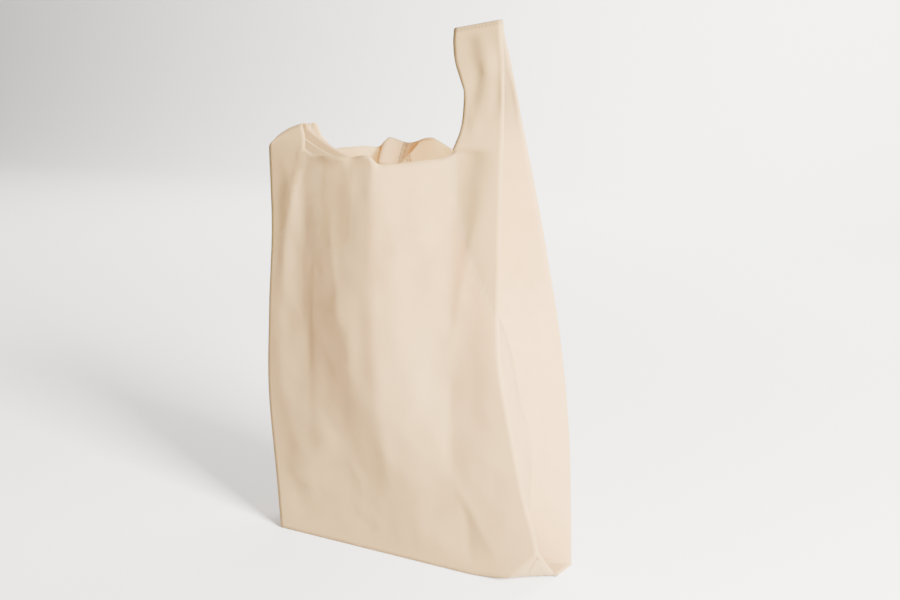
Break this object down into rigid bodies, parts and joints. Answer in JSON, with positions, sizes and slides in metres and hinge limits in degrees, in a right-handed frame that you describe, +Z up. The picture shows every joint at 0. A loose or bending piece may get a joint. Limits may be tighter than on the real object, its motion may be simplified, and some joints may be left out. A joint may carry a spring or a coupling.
{
  "type": "vest carrier bag",
  "caption": "Opened non-woven vest carrier bag that stands on its folded base, one loop handle up and the other folded over into the mouth.",
  "frame": {"origin": "middle of the base seal, on the underside of the folded base", "axes": "+Z up, +X along the front panel towards the standing handle, +Y from the front panel towards the back panel"},
  "size_m": [0.2883, 0.1005, 0.48],
  "materials": {
    "fabric": "matte"
  },
  "bodies": {
    "root": {"carrier_bag": "fabric"}
  },
  "joints": []
}
